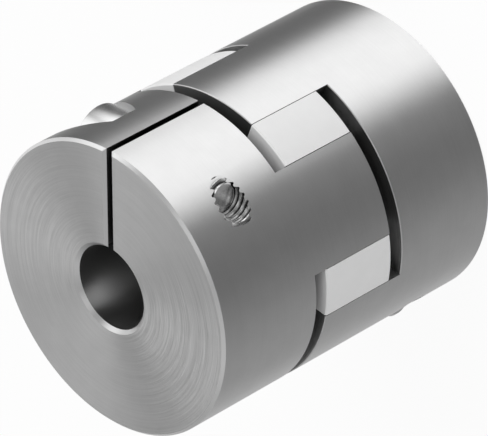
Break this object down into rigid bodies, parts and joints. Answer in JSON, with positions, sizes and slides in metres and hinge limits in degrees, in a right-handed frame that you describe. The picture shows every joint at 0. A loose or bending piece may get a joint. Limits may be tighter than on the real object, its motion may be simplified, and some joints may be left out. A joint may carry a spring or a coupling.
{
  "type": "shaft coupling",
  "caption": "Zero-backlash jaw coupling: slit clamping hubs with interlocking jaws grip two shaft ends and drive through a star-shaped elastomer insert.",
  "frame": {"origin": "centre of the lower hub's end face, on which the coupling stands", "axes": "+Z along the shaft axis towards the upper hub; the upper hub's slit opens towards +Y, and both screw heads point to -X"},
  "size_m": [0.042, 0.042, 0.05],
  "materials": {
    "hub_aluminium": "turned, satin",
    "insert_elastomer": "moulded, matte",
    "screw_steel": "bright"
  },
  "bodies": {
    "root": {"upper_hub": "hub_aluminium", "lower_hub": "hub_aluminium", "elastomer_insert": "insert_elastomer", "upper_clamp_screw": "screw_steel", "lower_clamp_screw": "screw_steel"}
  },
  "joints": []
}
